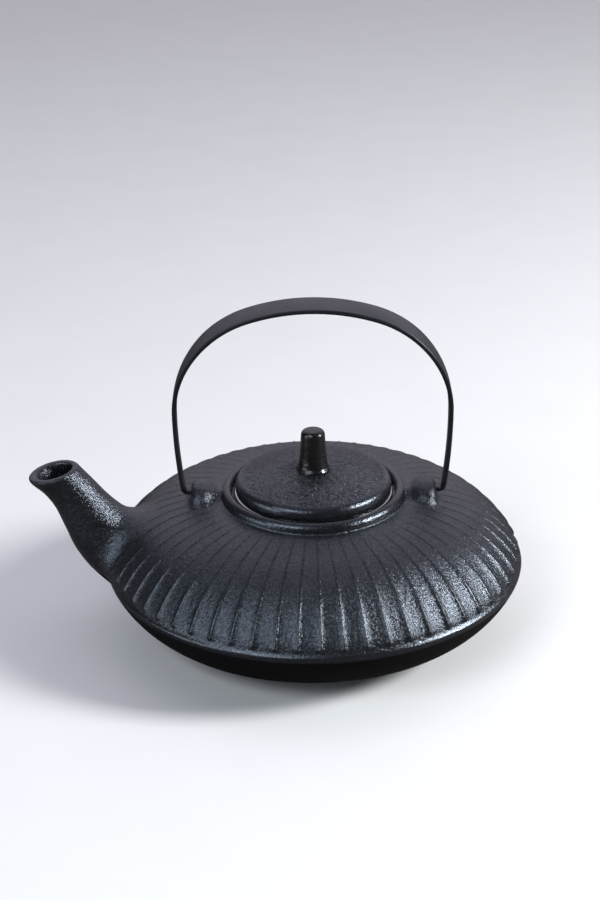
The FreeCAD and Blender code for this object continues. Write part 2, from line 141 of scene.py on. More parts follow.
# Field values that stand for far away from everything, and for away from the spout.
FAR = 1000.0
BEYOND_SPOUT = 40.0

# The pot's mesh: the radius that holds its open rings at the axis, and its thinning where it is plain.
AXIS_RINGS_WITHIN = 10.0
INNER_SIDE_TOP = 59.0
OUTER_SKIN = 1.6
THINNED_SHARE = 0.3
NEVER_SHARP = 180

# Lugs: a stretched ball cut flat on its outer side, and a ridge from it to the collar.
LUG_OUTER_X = 53.0
LUG_HOLE_X = 45.0
LUG_CENTRE = (48.2, 57.9)
LUG_RADIUS = 7.7
LUG_STRETCH = (0.92, 1.5)
LUG_FACE_ROUND = 2.6
LUG_BLEND = 3.2
LUG_RIDGE_HEIGHT = LUG_CENTRE[1]
LUG_RIDGE_RADIUS = 3.7
LUG_RIDGE_STRETCH = 1.2
LUG_RIDGE_BLEND = 2.5
HINGE_HOLE_RADIUS = 2.4
HINGE_HOLE_EDGE_ROUND = 0.5

# Strap handle.
STRAP_THICKNESS = 1.9
STRAP_EDGE_ROUND = 0.55
STRAP_BEND = 2.0
CROWN_WIDTH = 15.7
LEG_WIDTH = 6.2
TONGUE_WIDTH = 3.7
CROWN_WIDENS = (88.0, 134.0)
TONGUE_TOP = 64.5
HANDLE_FOOT_X = 55.9
SPAN_HEIGHT = 98.0
CROWN_ROUND = 88.0
TONGUE_END_X = 46.5

# Lid with its spigot, pad and knob.
SHEET = 0.5
LID_THICKNESS = 3.6
LID_SHOULDER_HEIGHT = 68.0
LID_SKIRT_HEIGHT = 62.3
LID_RIM_STARTS = (29.5, 31.5)
SPIGOT_RADIUS = 30.2
SPIGOT_WALL = 2.6
SEAT_RADIUS = 31.9
KNOB_PAD_RADIUS = 8.0
SCREW_HOLE_RADIUS = 2.15
WRINKLE_HEIGHT = 0.05
WRINKLE_COUNTS = (19, 31, 44, 58, 71)
WRINKLES_FADE = (10.0, 17.0)
WRINKLE_SEED = 7
KNOB_BORE_RADIUS = 2.02
KNOB_BORE_DEPTH = 10.0
KNOB_FLARE = 0.9
KNOB_NECK_RADIUS = 6.35
KNOB_WAIST_RADIUS = 5.7
KNOB_TOP_RADIUS = 5.0

# Woven wire of the infuser.
WIRE_PITCH = 1.3
WIRE_RADIUS = 0.13
WIRE_SIDES = 3
WEAVE = 0.11
WIRE_INSET = 0.2

# CAD nodes that stay as they are, with a better material.
CARRIED_OVER = ("knob_screw", "knob_washer", "infuser_rim_collar", "infuser_base_ring")

# Camera in millimetres and degrees, and the studio's lights in metres and watts.
CAMERA_PLACE = (-5.56, -772.7, 438.7)
CAMERA_PITCH = 24.913
CAMERA_ROLL = -0.764
LENS_LENGTH = 80
SENSOR_WIDTH = 36
COOL_LIGHT = (0.84, 0.91, 1.0)
LIGHTS = {
    "key": {"place": (1.2, -0.2, 0.7), "size": (0.34, 0.34), "power": 28, "colour": (0.95, 0.98, 1.0)},
    "overhead": {"place": (-0.72, -0.96, 1.05), "size": (0.9, 0.5), "power": 10.5, "colour": COOL_LIGHT},
    "fill": {"place": (-1.35, -0.6, 0.25), "size": (0.8, 0.45), "power": 6.5, "colour": COOL_LIGHT},
}
LIGHT_AIM = (0, 0, 0.05)
BRIGHT_SIDE = (0.1, 0.72, 0.69)
BRIGHT_GLOW = (0.86, 0.82, 0.97)
DARK_GLOW = (0.04, 0.042, 0.05)
BACKDROP = (0.6, 0.61, 0.63)
FLOOR_HALF_WIDTH = 6.0
FLOOR_FADES = (1.2, 3.4)
COOL_SHEEN = (0.82, 0.88, 1.0, 1.0)
IRON_SHEEN = (0.78, 0.87, 1.0, 1.0)


# ---------------------------------------------------------------------------------------------------------
# Implicit surfaces: a field is negative inside the iron, and its size is the distance in millimetres.
# ---------------------------------------------------------------------------------------------------------
def smooth_min(a, b, reach):
    """The smaller field, with the crease between the two filled over that reach."""
    mix = np.clip(0.5 + 0.5 * (b - a) / reach, 0, 1)
    return b + (a - b) * mix - reach * mix * (1 - mix)


def smooth_max(a, b, reach):
    """The larger field, with the edge between the two rounded over that reach."""
    return -smooth_min(-a, -b, reach)


def ramp(value, low, high):
    """0 at low, 1 at high, and smooth between them."""
    part = np.clip((value - low) / (high - low), 0, 1)
    return part * part * (3 - 2 * part)


def underside_field(r, z):
    """The flat middle of the underside, and the arc that carries it up to the crease."""
    centre_r, centre_z = UNDERSIDE_CENTRE
    curved = np.hypot(r - centre_r, z - centre_z) - UNDERSIDE_ROUND
    flat = centre_z - UNDERSIDE_ROUND - z
    return np.where(r > centre_r, curved, flat)


def dome_field(r, z):
    """The dome's long arc, and the tighter arc that carries it down to the rim."""
    centre_r, centre_z = DOME_CENTRE
    across, up = r - centre_r, z - centre_z
    dome = np.where(across > 0, np.hypot(across, up), up) - DOME_ROUND
    inset = DOME_ROUND - RIM_ROUND
    rim_across = across - inset * math.cos(RIM_SPLIT_ANGLE)
    rim_up = up - inset * math.sin(RIM_SPLIT_ANGLE)
    rim = np.hypot(rim_across, rim_up) - RIM_ROUND
    below_split = across * math.sin(RIM_SPLIT_ANGLE) > up * math.cos(RIM_SPLIT_ANGLE)
    return np.where(below_split, rim, dome)


def flute_dent(angle, r, z):
    """Depth of the flutes, less the height of the ribs, which end in a channel above the rim bead."""
    turns = (angle - FIRST_CUSP) / (2 * math.pi / FLUTE_COUNT)
    across = 2 * np.abs(turns - np.floor(turns) - 0.5)
    inner_power, outer_power = RIB_POWERS
    power = inner_power + (outer_power - inner_power) * ramp(r, *RIBS_WIDEN)
    rib = across ** power * ramp(z, *RIBS_END)
    strength = FAINT_SHARE * ramp(r, *FLUTES_START) + (1 - FAINT_SHARE) * ramp(r, *FLUTES_DEEPEN)
    return FLUTE_DEPTH * (FLOOR_SHARE - rib) * strength


def rim_bead_field(r, z):
    """A round bead whose lower half is carried straight down to the crease."""
    centre_r, centre_z = RIM_BEAD_CENTRE
    return np.hypot(r - centre_r, np.maximum(z - centre_z, 0)) - RIM_BEAD_ROUND


def spout_curve():
    """Centre, outer radius, widening and inner radius at even steps along a Catmull-Rom curve."""
    inner_radii = np.subtract(SPOUT_RADII, SPOUT_WALLS)
    knots = np.column_stack([SPOUT_POINTS, SPOUT_RADII, SPOUT_WIDENING, inner_radii])
    padded = np.vstack([2 * knots[0] - knots[1], knots, 2 * knots[-1] - knots[-2]])
    rows = []
    for place in np.linspace(0, len(knots) - 1, SPOUT_SAMPLES):
        start = min(int(place), len(knots) - 2)
        t = place - start
        before, first, second, after = padded[start : start + 4]
        rows.append(0.5 * (
            2 * first + (second - before) * t
            + (2 * before - 5 * first + 4 * second - after) * t ** 2
            + (3 * first - before - 3 * second + after) * t ** 3
        ))
    return np.array(rows)


SPOUT_CURVE = spout_curve()


def spout_fields(x, y, z):
    """Fields of the spout's outside and of its bore, as spheres swept along its curve."""
    outside = np.full(x.shape, FAR)
    bore = np.full(x.shape, FAR)
    for centre_x, centre_z, radius, widening, inner in SPOUT_CURVE:
        away = np.sqrt((x - centre_x) ** 2 + (y / widening) ** 2 + (z - centre_z) ** 2)
        outside = np.minimum(outside, away - radius)
        bore = np.minimum(bore, away - inner)
    mouth_x, mouth_z = MOUTH_CENTRE
    over_mouth = (z - mouth_z) * math.cos(MOUTH_TILT) - (x - mouth_x) * math.sin(MOUTH_TILT)
    return smooth_max(outside, over_mouth, MOUTH_LIP_ROUND), bore


def lug_field(x, y, z):
    """A rounded knuckle at each side, flat on its outer face, and a low ridge that ties it to the collar."""
    out = np.abs(x)
    centre_x, centre_z = LUG_CENTRE
    stretch_x, stretch_y = LUG_STRETCH
    across, along, up = (out - centre_x) / stretch_x, y / stretch_y, z - centre_z
    ball = np.sqrt(across ** 2 + along ** 2 + up ** 2) - LUG_RADIUS
    ridge = np.hypot(y / LUG_RIDGE_STRETCH, z - LUG_RIDGE_HEIGHT) - LUG_RIDGE_RADIUS
    ridge = np.maximum(ridge, out - centre_x)
    return smooth_max(smooth_min(ball, ridge, LUG_RIDGE_BLEND), out - LUG_OUTER_X, LUG_FACE_ROUND)


def collar_field(r, z):
    """A round bead whose inner side runs straight in to the opening."""
    across, up = r - COLLAR_CENTRE[0], z - COLLAR_CENTRE[1]
    return np.where(across > 0, np.hypot(across, up), np.abs(up)) - COLLAR_ROUND


def foot_field(r, z):
    """The ring that the pot stands on, and the plate that closes the body inside it."""
    ring = np.maximum(np.abs(r - FOOT_RADIUS + FOOT_WIDTH / 2) - FOOT_WIDTH / 2, -z)
    plate = np.maximum(r - FOOT_RADIUS, BASE_HEIGHT - z)
    return np.maximum(np.minimum(ring, plate), z - FLOOR_HEIGHT)


def inside_field(r, z):
    """The water space with its throat and the wider opening above the ledge."""
    shell = smooth_max(underside_field(r, z), dome_field(r, z), 2 * WALL) + WALL
    space = smooth_max(shell, FLOOR_HEIGHT - z, 4.0)
    throat = np.maximum(np.maximum(r - THROAT_RADIUS, THROAT_LOW - z), z - LEDGE_HEIGHT - 1)
    opening = np.maximum(r - OPENING_RADIUS, LEDGE_HEIGHT - z)
    return np.minimum(smooth_min(space, throat, WALL / 2), opening)


def pot_field(x, y, z):
    """The whole casting. x, y and z may be of any shapes that broadcast together."""
    r = np.hypot(x, y)
    angle = np.arctan2(y, x)
    shape = np.broadcast_shapes(x.shape, y.shape, z.shape)
    near_spout = np.broadcast_to((x < -50) & (np.abs(y) < 40), shape)
    spout = np.full(shape, BEYOND_SPOUT)
    bore = np.full(shape, BEYOND_SPOUT)
    at = [np.broadcast_to(axis, shape)[near_spout] for axis in (x, y, z)]
    spout[near_spout], bore[near_spout] = spout_fields(*at)
    lug = lug_field(x, y, z)

    dent = flute_dent(angle, r, z) * ramp(spout, 1.0, 11.0) * ramp(lug, 0.3, 3.0)
    swell = COLLAR_SWELL * (1 - ramp(r, *SWELL_FADES))
    top = smooth_min(dome_field(r, z) + dent - swell, rim_bead_field(r, z), RIM_BEAD_BLEND)
    body = smooth_max(underside_field(r, z), top, CREASE_ROUND)
    body = smooth_min(body, foot_field(r, z), FOOT_BLEND)
    body = smooth_min(body, lug, LUG_BLEND)
    body = smooth_min(body, collar_field(r, z), COLLAR_BLEND)
    body = smooth_min(body, spout, SPOUT_BLEND)

    hollow = np.minimum(inside_field(r, z), bore)
    hollow_round = np.where(x < MOUTH_SIDE_X, MOUTH_EDGE_ROUND, OPENING_EDGE_ROUND)
    along_hole = np.abs(np.abs(x) - (LUG_HOLE_X + LUG_OUTER_X) / 2 - 1) - (LUG_OUTER_X - LUG_HOLE_X) / 2 - 1
    hinge_hole = np.maximum(np.hypot(y, z - HINGE_HEIGHT) - HINGE_HOLE_RADIUS, along_hole)
    return smooth_max(smooth_max(body, -hollow, hollow_round), -hinge_hole, HINGE_HOLE_EDGE_ROUND)


def spaced(*stretches):
    """Grid lines from stretches of (start, end, step), evened out to fit each stretch."""
    lines = [np.array([stretches[0][0]])]
    for start, end, step in stretches:
        count = max(1, round((end - start) / step))
        lines.append(np.linspace(start, end, count + 1)[1:])
    return np.concatenate(lines)


def flute_angles():
    """Grid lines round the axis. Each rib's crest lies in a narrow cell, and the spout's side is finer."""
    half = np.array([0.02, 0.06, 0.12, 0.20, 0.31, 0.43])
    steps = np.concatenate([half, 1 - half[::-1]])
    pitch = 2 * math.pi / FLUTE_COUNT
    lines = []
    for flute in range(FLUTE_COUNT):
        start = FIRST_CUSP + flute * pitch
        lines.append(start + steps * pitch)
    lines = np.concatenate(lines)
    middles = (lines + np.append(lines[1:], lines[0] + 2 * math.pi)) / 2
    from_spout = np.abs(middles % (2 * math.pi) - math.pi)
    extra = middles[from_spout < SPOUT_SIDE]
    return np.sort(np.concatenate([lines, extra]))


def surface_net(angles, radii, heights, field):
    """Vertices and quads of the zero surface of a field on a cylindrical grid round the Z axis.

    Each cell that the surface crosses gets one vertex, at the cell's middle angle and at the mean radius
    and height of the crossings on its edges. Each crossed edge gets a quad through the cells round it.
    """
    next_angles = np.append(angles[1:], angles[0] + 2 * math.pi)
    grid = np.meshgrid(angles, radii, heights, indexing="ij", sparse=True)
    values = field(grid[1] * np.cos(grid[0]), grid[1] * np.sin(grid[0]), grid[2])
    radius_sum = np.zeros(values.shape)
    height_sum = np.zeros(values.shape)
    crossing_count = np.zeros(values.shape, int)
    crossings = []
    for axis in range(3):
        ahead = np.roll(values, -1, axis)
        crossed = (values < 0) != (ahead < 0)
        if axis == 1:
            crossed[:, -1] = False
        if axis == 2:
            crossed[:, :, -1] = False
        place = np.argwhere(crossed)
        near, far = values[crossed], ahead[crossed]
        share = near / (near - far)
        radius = radii[place[:, 1]]
        height = heights[place[:, 2]]
        if axis == 1:
            radius = radius + share * (radii[place[:, 1] + 1] - radius)
        if axis == 2:
            height = height + share * (heights[place[:, 2] + 1] - height)
        first, second = [other for other in range(3) if other != axis]
        cells = []
        for back_first, back_second in ((0, 0), (1, 0), (1, 1), (0, 1)):
            cell = place.copy()
            cell[:, first] -= back_first
            cell[:, second] -= back_second
            cell[:, 0] %= len(angles)
            cells.append(cell)
            real = cell[:, 1] >= 0
            key = tuple(cell[real].T)
            np.add.at(radius_sum, key, radius[real])
            np.add.at(height_sum, key, height[real])
            np.add.at(crossing_count, key, 1)
        whole = np.all([cell[:, 1] >= 0 for cell in cells], axis=0)
        crossings.append(([cell[whole] for cell in cells], (near < 0)[whole] != (axis == 1)))
    used = crossing_count > 0
    numbers = np.full(values.shape, -1)
    numbers[used] = np.arange(used.sum())
    radius = radius_sum[used] / crossing_count[used]
    height = height_sum[used] / crossing_count[used]
    angle = ((angles + next_angles) / 2)[np.argwhere(used)[:, 0]]
    vertices = np.column_stack([radius * np.cos(angle), radius * np.sin(angle), height])
    quads = []
    for cells, flipped in crossings:
        quad = np.column_stack([numbers[tuple(cell.T)] for cell in cells])
        quad[flipped] = quad[flipped][:, ::-1]
        quads.append(quad)
    return vertices, np.concatenate(quads)


def gradient(points, field, step=0.02):
    """Direction and rate of the field's steepest rise at each point."""
    slopes = []
    for axis in range(3):
        offset = np.zeros(3)
        offset[axis] = step
        ahead = field(*(points + offset).T)
        behind = field(*(points - offset).T)
        slopes.append((ahead - behind) / (2 * step))
    return np.column_stack(slopes)


def settle(points, field, rounds=4, longest=0.5):
    """Move points onto the field's zero surface along its slope."""
    for _ in range(rounds):
        slope = gradient(points, field)
        square = np.maximum((slope ** 2).sum(1), 1e-3)
        move = -(field(*points.T) / square)[:, None] * slope
        length = np.linalg.norm(move, axis=1, keepdims=True)
        points = points + move * np.minimum(1, longest / np.maximum(length, 1e-9))
    return points


# ---------------------------------------------------------------------------------------------------------
# Mesh helpers, in millimetres.
# ---------------------------------------------------------------------------------------------------------
def new_piece(name, vertices, faces, body, *replaced, sharp_angle=40):
    """A mesh object that rides on a CAD body and stands for the named CAD nodes."""
    mesh = bpy.data.meshes.new(name)
    mesh.from_pydata((np.asarray(vertices) * MM).tolist(), [], [list(face) for face in faces])
    mesh.validate()
    mesh.shade_smooth()
    mesh.set_sharp_from_angle(angle=math.radians(sharp_angle))
    piece = bpy.data.objects.new(name, mesh)
    bpy.context.scene.collection.objects.link(piece)
    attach(piece, body)
    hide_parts(*replaced)
    return piece


def clean(mesh):
    """Merge vertices that lie on one another, and drop the faces and edges that this collapses."""
    cage = bmesh.new()
    cage.from_mesh(mesh)
    bmesh.ops.remove_doubles(cage, verts=cage.verts, dist=SAME_PLACE)
    bmesh.ops.dissolve_degenerate(cage, edges=cage.edges, dist=SAME_PLACE)
    loose = [edge for edge in cage.edges if not edge.link_faces]
    bmesh.ops.delete(cage, geom=loose, context="EDGES")
    cage.to_mesh(mesh)
    cage.free()


def places_of(mesh):
    """The mesh's vertices in millimetres."""
    places = np.empty(len(mesh.vertices) * 3, np.float32)
    mesh.vertices.foreach_get("co", places)
    return places.reshape(-1, 3).astype(float) / MM


def rounded(corners, step=0.4):
    """Points of a closed outline through (x, y, rounding) corners."""
    points = []
    for index, (x, y, rounding) in enumerate(corners):
        corner = np.array([x, y], float)
        if not rounding:
            points.append(corner)
            continue
        back = np.array(corners[index - 1][:2]) - corner
        ahead = np.array(corners[(index + 1) % len(corners)][:2]) - corner
        back /= np.linalg.norm(back)
        ahead /= np.linalg.norm(ahead)
        half_angle = math.acos(np.clip(back @ ahead, -1, 1)) / 2
        inward = (back + ahead) / np.linalg.norm(back + ahead)
        centre = corner + inward * rounding / math.sin(half_angle)
        start = corner + back * rounding / math.tan(half_angle) - centre
        sweep = (math.pi - 2 * half_angle) * math.copysign(1, back[1] * ahead[0] - back[0] * ahead[1])
        count = max(4, math.ceil(abs(sweep) * rounding / step))
        for turn in np.linspace(0, sweep, count + 1):
            cosine, sine = math.cos(turn), math.sin(turn)
            turned_x = start[0] * cosine - start[1] * sine
            turned_y = start[0] * sine + start[1] * cosine
            points.append(centre + (turned_x, turned_y))
    return np.array(points)


def turned(outline, steps=192):
    """Vertices and faces of a closed outline of (radius, height) turned about the Z axis."""
    angles = np.arange(steps) * 2 * math.pi / steps
    radius, height = np.asarray(outline).T
    x = np.cos(angles)[:, None] * radius
    y = np.sin(angles)[:, None] * radius
    z = np.broadcast_to(height, x.shape)
    return np.stack([x, y, z], -1).reshape(-1, 3), grid_faces(steps, len(radius), True, True)


def grid_faces(rows, columns, rows_closed, columns_closed):
    """Quads of a grid of vertices numbered along the columns first."""
    row, column = np.meshgrid(
        np.arange(rows if rows_closed else rows - 1),
        np.arange(columns if columns_closed else columns - 1),
        indexing="ij",
    )
    next_row, next_column = (row + 1) % rows, (column + 1) % columns
    corners = [row * columns + column, next_row * columns + column,
               next_row * columns + next_column, row * columns + next_column]
    return np.stack(corners, -1).reshape(-1, 4)


def tube(path, radius, sides, closed):
    """Vertices and faces of a round wire along a path of points."""
    path = np.asarray(path, float)
    if closed:
        along = np.roll(path, -1, 0) - np.roll(path, 1, 0)
    else:
        along = np.gradient(path, axis=0)
    along /= np.linalg.norm(along, axis=1, keepdims=True)
    reference = np.where(np.abs(along[:, 2:]) < 0.8, (0.0, 0.0, 1.0), (1.0, 0.0, 0.0))
    across = np.cross(along, reference)
    across /= np.linalg.norm(across, axis=1, keepdims=True)
    up = np.cross(along, across)
    turns = np.arange(sides) * 2 * math.pi / sides
    ring = np.cos(turns)[:, None] * across[:, None] + np.sin(turns)[:, None] * up[:, None]
    vertices = (path[:, None] + radius * ring).reshape(-1, 3)
    faces = grid_faces(len(path), sides, closed, True)[:, ::-1].tolist()
    if closed:
        return vertices, faces
    last = (len(path) - 1) * sides
    caps = [list(reversed(range(sides))), [last + side for side in range(sides)]]
    return vertices, faces + caps


def joined(parts):
    """One list of vertices and one of faces from several (vertices, faces) parts."""
    vertices, faces, start = [], [], 0
    for part_vertices, part_faces in parts:
        vertices.append(np.asarray(part_vertices))
        faces.extend([number + start for number in face] for face in part_faces)
        start += len(part_vertices)
    return np.concatenate(vertices), faces


# ---------------------------------------------------------------------------------------------------------
# Pieces
# ---------------------------------------------------------------------------------------------------------
def closing_fans(vertices, quads):
    """Faces that close the mesh's two open rings round the axis, each round a vertex on the axis."""
    edges = np.concatenate([quads[:, [side, (side + 1) % 4]] for side in range(4)])
    known = {tuple(edge) for edge in edges.tolist()}
    open_edges = [edge for edge in known if edge[::-1] not in known]
    rim = [edge for edge in open_edges if np.hypot(*vertices[edge[0], :2]) < AXIS_RINGS_WITHIN]
    heights = vertices[[edge[0] for edge in rim], 2]
    centres, faces = [], []
    for chosen in (heights < heights.mean(), heights >= heights.mean()):
        centres.append((0, 0, heights[chosen].mean()))
        apex = len(vertices) + len(centres) - 1
        faces += [[end, start, apex] for (start, end), wanted in zip(rim, chosen) if wanted]
    return np.array(centres), faces


def make_pot(material):
    """The pot casting, meshed finely on the fluted top and thinned where it is plain."""
    angles = flute_angles()
    radii = spaced((6, 33, 3.0), (33, 44, 0.75), (44, 52, 1.1), (52, 92, 1.4), (92, 124, 1.2))
    heights = spaced(
        (-0.9, 6, 0.69), (6, 26.5, 1.4), (26.5, 36, 0.7), (36, 54, 1.4), (54, 66, 0.65), (66, 76, 0.9),
    )
    vertices, quads = surface_net(angles, radii, heights, pot_field)
    vertices = settle(vertices, pot_field)
    centres, fans = closing_fans(vertices, quads)
    vertices = np.concatenate([vertices, centres])
    faces = quads.tolist() + fans
    piece = new_piece("pot_casting_visual", vertices, faces, "pot", "pot_casting", sharp_angle=NEVER_SHARP)
    thin_plain_parts(piece)
    set_true_normals(piece.data)
    return dress(piece, material)


def set_true_normals(mesh):
    """Shade the pot by the slope of its field, which is smoother than the faces that are left."""
    slope = gradient(places_of(mesh), pot_field)
    slope /= np.linalg.norm(slope, axis=1, keepdims=True)
    mesh.normals_split_custom_set_from_vertices(slope.tolist())


def thin_plain_parts(piece):
    """Collapse edges below the crease and on the inside, where the surface is smooth."""
    x, y, z = places_of(piece.data).T
    r = np.hypot(x, y)
    below = z < CREASE_HEIGHT + 1
    inner_side = (inside_field(r, z) > -0.2) & (r < BODY_RADIUS - 1) & (z < INNER_SIDE_TOP)
    skin = np.minimum(underside_field(r, z), dome_field(r, z)) > -OUTER_SKIN
    dome_side = skin & (z > CREASE_HEIGHT)
    group = piece.vertex_groups.new(name="plain")
    group.add(np.flatnonzero((below | inner_side) & ~dome_side).tolist(), 1.0, "REPLACE")
    modifier = piece.modifiers.new("thin", "DECIMATE")
    modifier.ratio = THINNED_SHARE
    modifier.vertex_group = "plain"
    modifier.vertex_group_factor = 1000
    with bpy.context.temp_override(object=piece):
        bpy.ops.object.modifier_apply(modifier="thin")
    piece.vertex_groups.clear()
    clean(piece.data)


def dress(piece, material):
    """Give a piece its only material."""
    piece.data.materials.clear()
    piece.data.materials.append(material)
    return piece


def make_lid(material):
    """Turned lid with a softly rounded rim, and fine wrinkles in the iron round the knob."""
    top = LID_HIGH[2]
    seat = LEDGE_HEIGHT + SHEET
    spigot_inside = SPIGOT_RADIUS - SPIGOT_WALL
    vertices, faces = turned(rounded([
        (SCREW_HOLE_RADIUS, top - LID_THICKNESS, 0),
        (KNOB_PAD_RADIUS, top - LID_THICKNESS, 0),
        (spigot_inside, LID_SHOULDER_HEIGHT - LID_THICKNESS, 2.0),
        (spigot_inside, LID_LOW[2], 0.5),
        (SPIGOT_RADIUS, LID_LOW[2], 0.5),
        (SPIGOT_RADIUS, seat, 0),
        (SEAT_RADIUS, seat, 0.5),
        (LID_HIGH[0], LID_SKIRT_HEIGHT, 1.0),
        (LID_HIGH[0] - 0.4, LID_SHOULDER_HEIGHT - 0.65, 3.4),
        (19.8, top - 0.95, 90.0),
        (KNOB_PAD_RADIUS - 1.0, top - 0.15, 2.0),
        (KNOB_HIGH[0] + 0.1, top, 0),
        (SCREW_HOLE_RADIUS, top, 0),
    ], step=0.7), steps=360)
    vertices = wrinkled(vertices)
    piece = new_piece("lid_casting_visual", vertices, faces, "lid", "lid_casting")
    return dress(piece, material)


def wrinkled(vertices):
    """Raise uneven radial folds on the lid's top, strongest close to the knob."""
    x, y, z = vertices.T
    r, angle = np.hypot(x, y), np.arctan2(y, x)
    random = np.random.default_rng(WRINKLE_SEED)
    bend = 0.25 * np.sin(r / 2)
    folds = np.zeros_like(angle)
    for count in WRINKLE_COUNTS:
        folds += random.uniform(0.6, 1) * np.cos(count * angle + random.uniform(0, 2 * math.pi) + bend)
    strength = ramp(r, KNOB_PAD_RADIUS - 1, KNOB_PAD_RADIUS + 2) * (1 - ramp(r, *WRINKLES_FADE))
    on_top = z > LID_SHOULDER_HEIGHT - 2
    return np.column_stack([x, y, z + WRINKLE_HEIGHT * folds * strength * on_top])


def make_knob(material):
    """Tapered knob with a flared foot and a rounded top."""
    foot, top = KNOB_LOW[2], KNOB_HIGH[2]
    bore_end = foot + KNOB_BORE_DEPTH
    vertices, faces = turned(rounded([
        (KNOB_BORE_RADIUS, foot, 0),
        (KNOB_HIGH[0] + KNOB_FLARE, foot, 0.15),
        (KNOB_NECK_RADIUS, foot + 1.4, 2.4),
        (KNOB_WAIST_RADIUS, foot + 6.0, 8.0),
        (KNOB_TOP_RADIUS, top - 0.1, 2.1),
        (0, top + 0.35, 0),
        (0, bore_end, 0),
        (KNOB_BORE_RADIUS, bore_end, 0),
    ]), steps=96)
    piece = new_piece("lid_knob_visual", vertices, faces, "lid", "lid_knob")
    clean(piece.data)
    return dress(piece, material)


def strap_path():
    """Middle line of half the strap from its tongue end to the top of the crown, as (x, z) points.

    Four arcs run on from one another: the bend at the foot, the leg, the shoulder and the crown.
    """
    foot = HANDLE_FOOT_X
    span = HANDLE_HIGH[0] - STRAP_THICKNESS / 2
    top = HANDLE_HIGH[2] - STRAP_THICKNESS / 2
    leg_low = HINGE_HEIGHT + STRAP_BEND
    leg_rise = SPAN_HEIGHT - leg_low
    crown_rise = SPAN_HEIGHT - top + CROWN_ROUND
    leg = (leg_rise ** 2 + (span - foot) ** 2) / (2 * (span - foot))
    shoulder = (CROWN_ROUND ** 2 - span ** 2 - crown_rise ** 2) / (2 * (CROWN_ROUND - span))
    lean = math.asin(leg_rise / leg)
    crown_turn = math.atan2(crown_rise, span - shoulder)
    arcs = [
        ((foot - STRAP_BEND, leg_low), STRAP_BEND, -math.pi / 2, -lean, 8),
        ((span - leg, SPAN_HEIGHT), leg, -lean, 0, 24),
        ((span - shoulder, SPAN_HEIGHT), shoulder, 0, crown_turn, 36),
        ((0, top - CROWN_ROUND), CROWN_ROUND, crown_turn, math.pi / 2, 40),
    ]
    tongue = np.linspace(TONGUE_END_X, foot - STRAP_BEND, 9)
    points = [(x, HINGE_HEIGHT) for x in tongue]
    for (x, z), radius, start, end, count in arcs:
        turns = np.linspace(start, end, count + 1)[1:]
        points += [(x + radius * math.cos(turn), z + radius * math.sin(turn)) for turn in turns]
    return np.array(points)


def strap_half_width(z):
    """Wide over the crown, tapering down the legs, and narrow where the tongue goes into the lug."""
    width = LEG_WIDTH + (CROWN_WIDTH - LEG_WIDTH) * ramp(z, *CROWN_WIDENS)
    tongue = TONGUE_WIDTH + (width - TONGUE_WIDTH) * ramp(z, HINGE_HEIGHT, TONGUE_TOP)
    return np.where(z < TONGUE_TOP, tongue, width) / 2


def make_handle(material):
    """Flat strap with rounded edges, bent in at both feet."""
    half = strap_path()
    path = np.concatenate([half, half[-2::-1] * (-1, 1)])
    along = np.gradient(path, axis=0)
    along /= np.linalg.norm(along, axis=1, keepdims=True)
    out = np.column_stack([along[:, 1], -along[:, 0]])
    half_widths = strap_half_width(path[:, 1])
    half_thick = STRAP_THICKNESS / 2
    rows = []
    for (x, z), (out_x, out_z), half_width in zip(path, out, half_widths):
        section = rounded([
            (-half_width, -half_thick, STRAP_EDGE_ROUND),
            (half_width, -half_thick, STRAP_EDGE_ROUND),
            (half_width, half_thick, STRAP_EDGE_ROUND),
            (-half_width, half_thick, STRAP_EDGE_ROUND),
        ], step=0.3)
        rows.append([(x + thick * out_x, across, z + thick * out_z) for across, thick in section])
    columns = len(rows[0])
    vertices = np.array(rows).reshape(-1, 3)
    faces = grid_faces(len(rows), columns, False, True)
    last = (len(rows) - 1) * columns
    caps = [list(range(columns)), [last + column for column in reversed(range(columns))]]
    piece = new_piece("bail_handle_visual", vertices, faces.tolist() + caps, "handle", "bail_handle")
    return dress(piece, material)


def make_mesh_wall(material):
    """Woven wire wall: upright wires and hoops that pass over and under each other."""
    radius = WALL_HIGH[0] - WIRE_INSET
    bottom, top = WALL_LOW[2] + WIRE_INSET, WALL_HIGH[2] - WIRE_INSET
    upright_count = 2 * round(math.pi * radius / WIRE_PITCH)
    hoop_count = round((top - bottom) / WIRE_PITCH) + 1
    pitch = (top - bottom) / (hoop_count - 1)
    heights = np.linspace(bottom, top, 2 * (hoop_count - 1) + 1)
    angles = np.arange(2 * upright_count) * math.pi / upright_count
    parts = []
    for upright in range(upright_count):
        angle = upright * 2 * math.pi / upright_count
        reach = radius + WEAVE * np.cos(math.pi * ((heights - bottom) / pitch + upright))
        path = np.column_stack([reach * math.cos(angle), reach * math.sin(angle), heights])
        parts.append(tube(path, WIRE_RADIUS, WIRE_SIDES, False))
    for hoop in range(hoop_count):
        reach = radius - WEAVE * np.cos(math.pi * (angles * upright_count / (2 * math.pi) + hoop))
        level = np.full_like(angles, bottom + hoop * pitch)
        path = np.column_stack([reach * np.cos(angles), reach * np.sin(angles), level])
        parts.append(tube(path, WIRE_RADIUS, WIRE_SIDES, True))
    vertices, faces = joined(parts)
    piece = new_piece("infuser_mesh_wall_visual", vertices, faces, "infuser", "infuser_mesh_wall",
                      sharp_angle=NEVER_SHARP)
    return dress(piece, material)


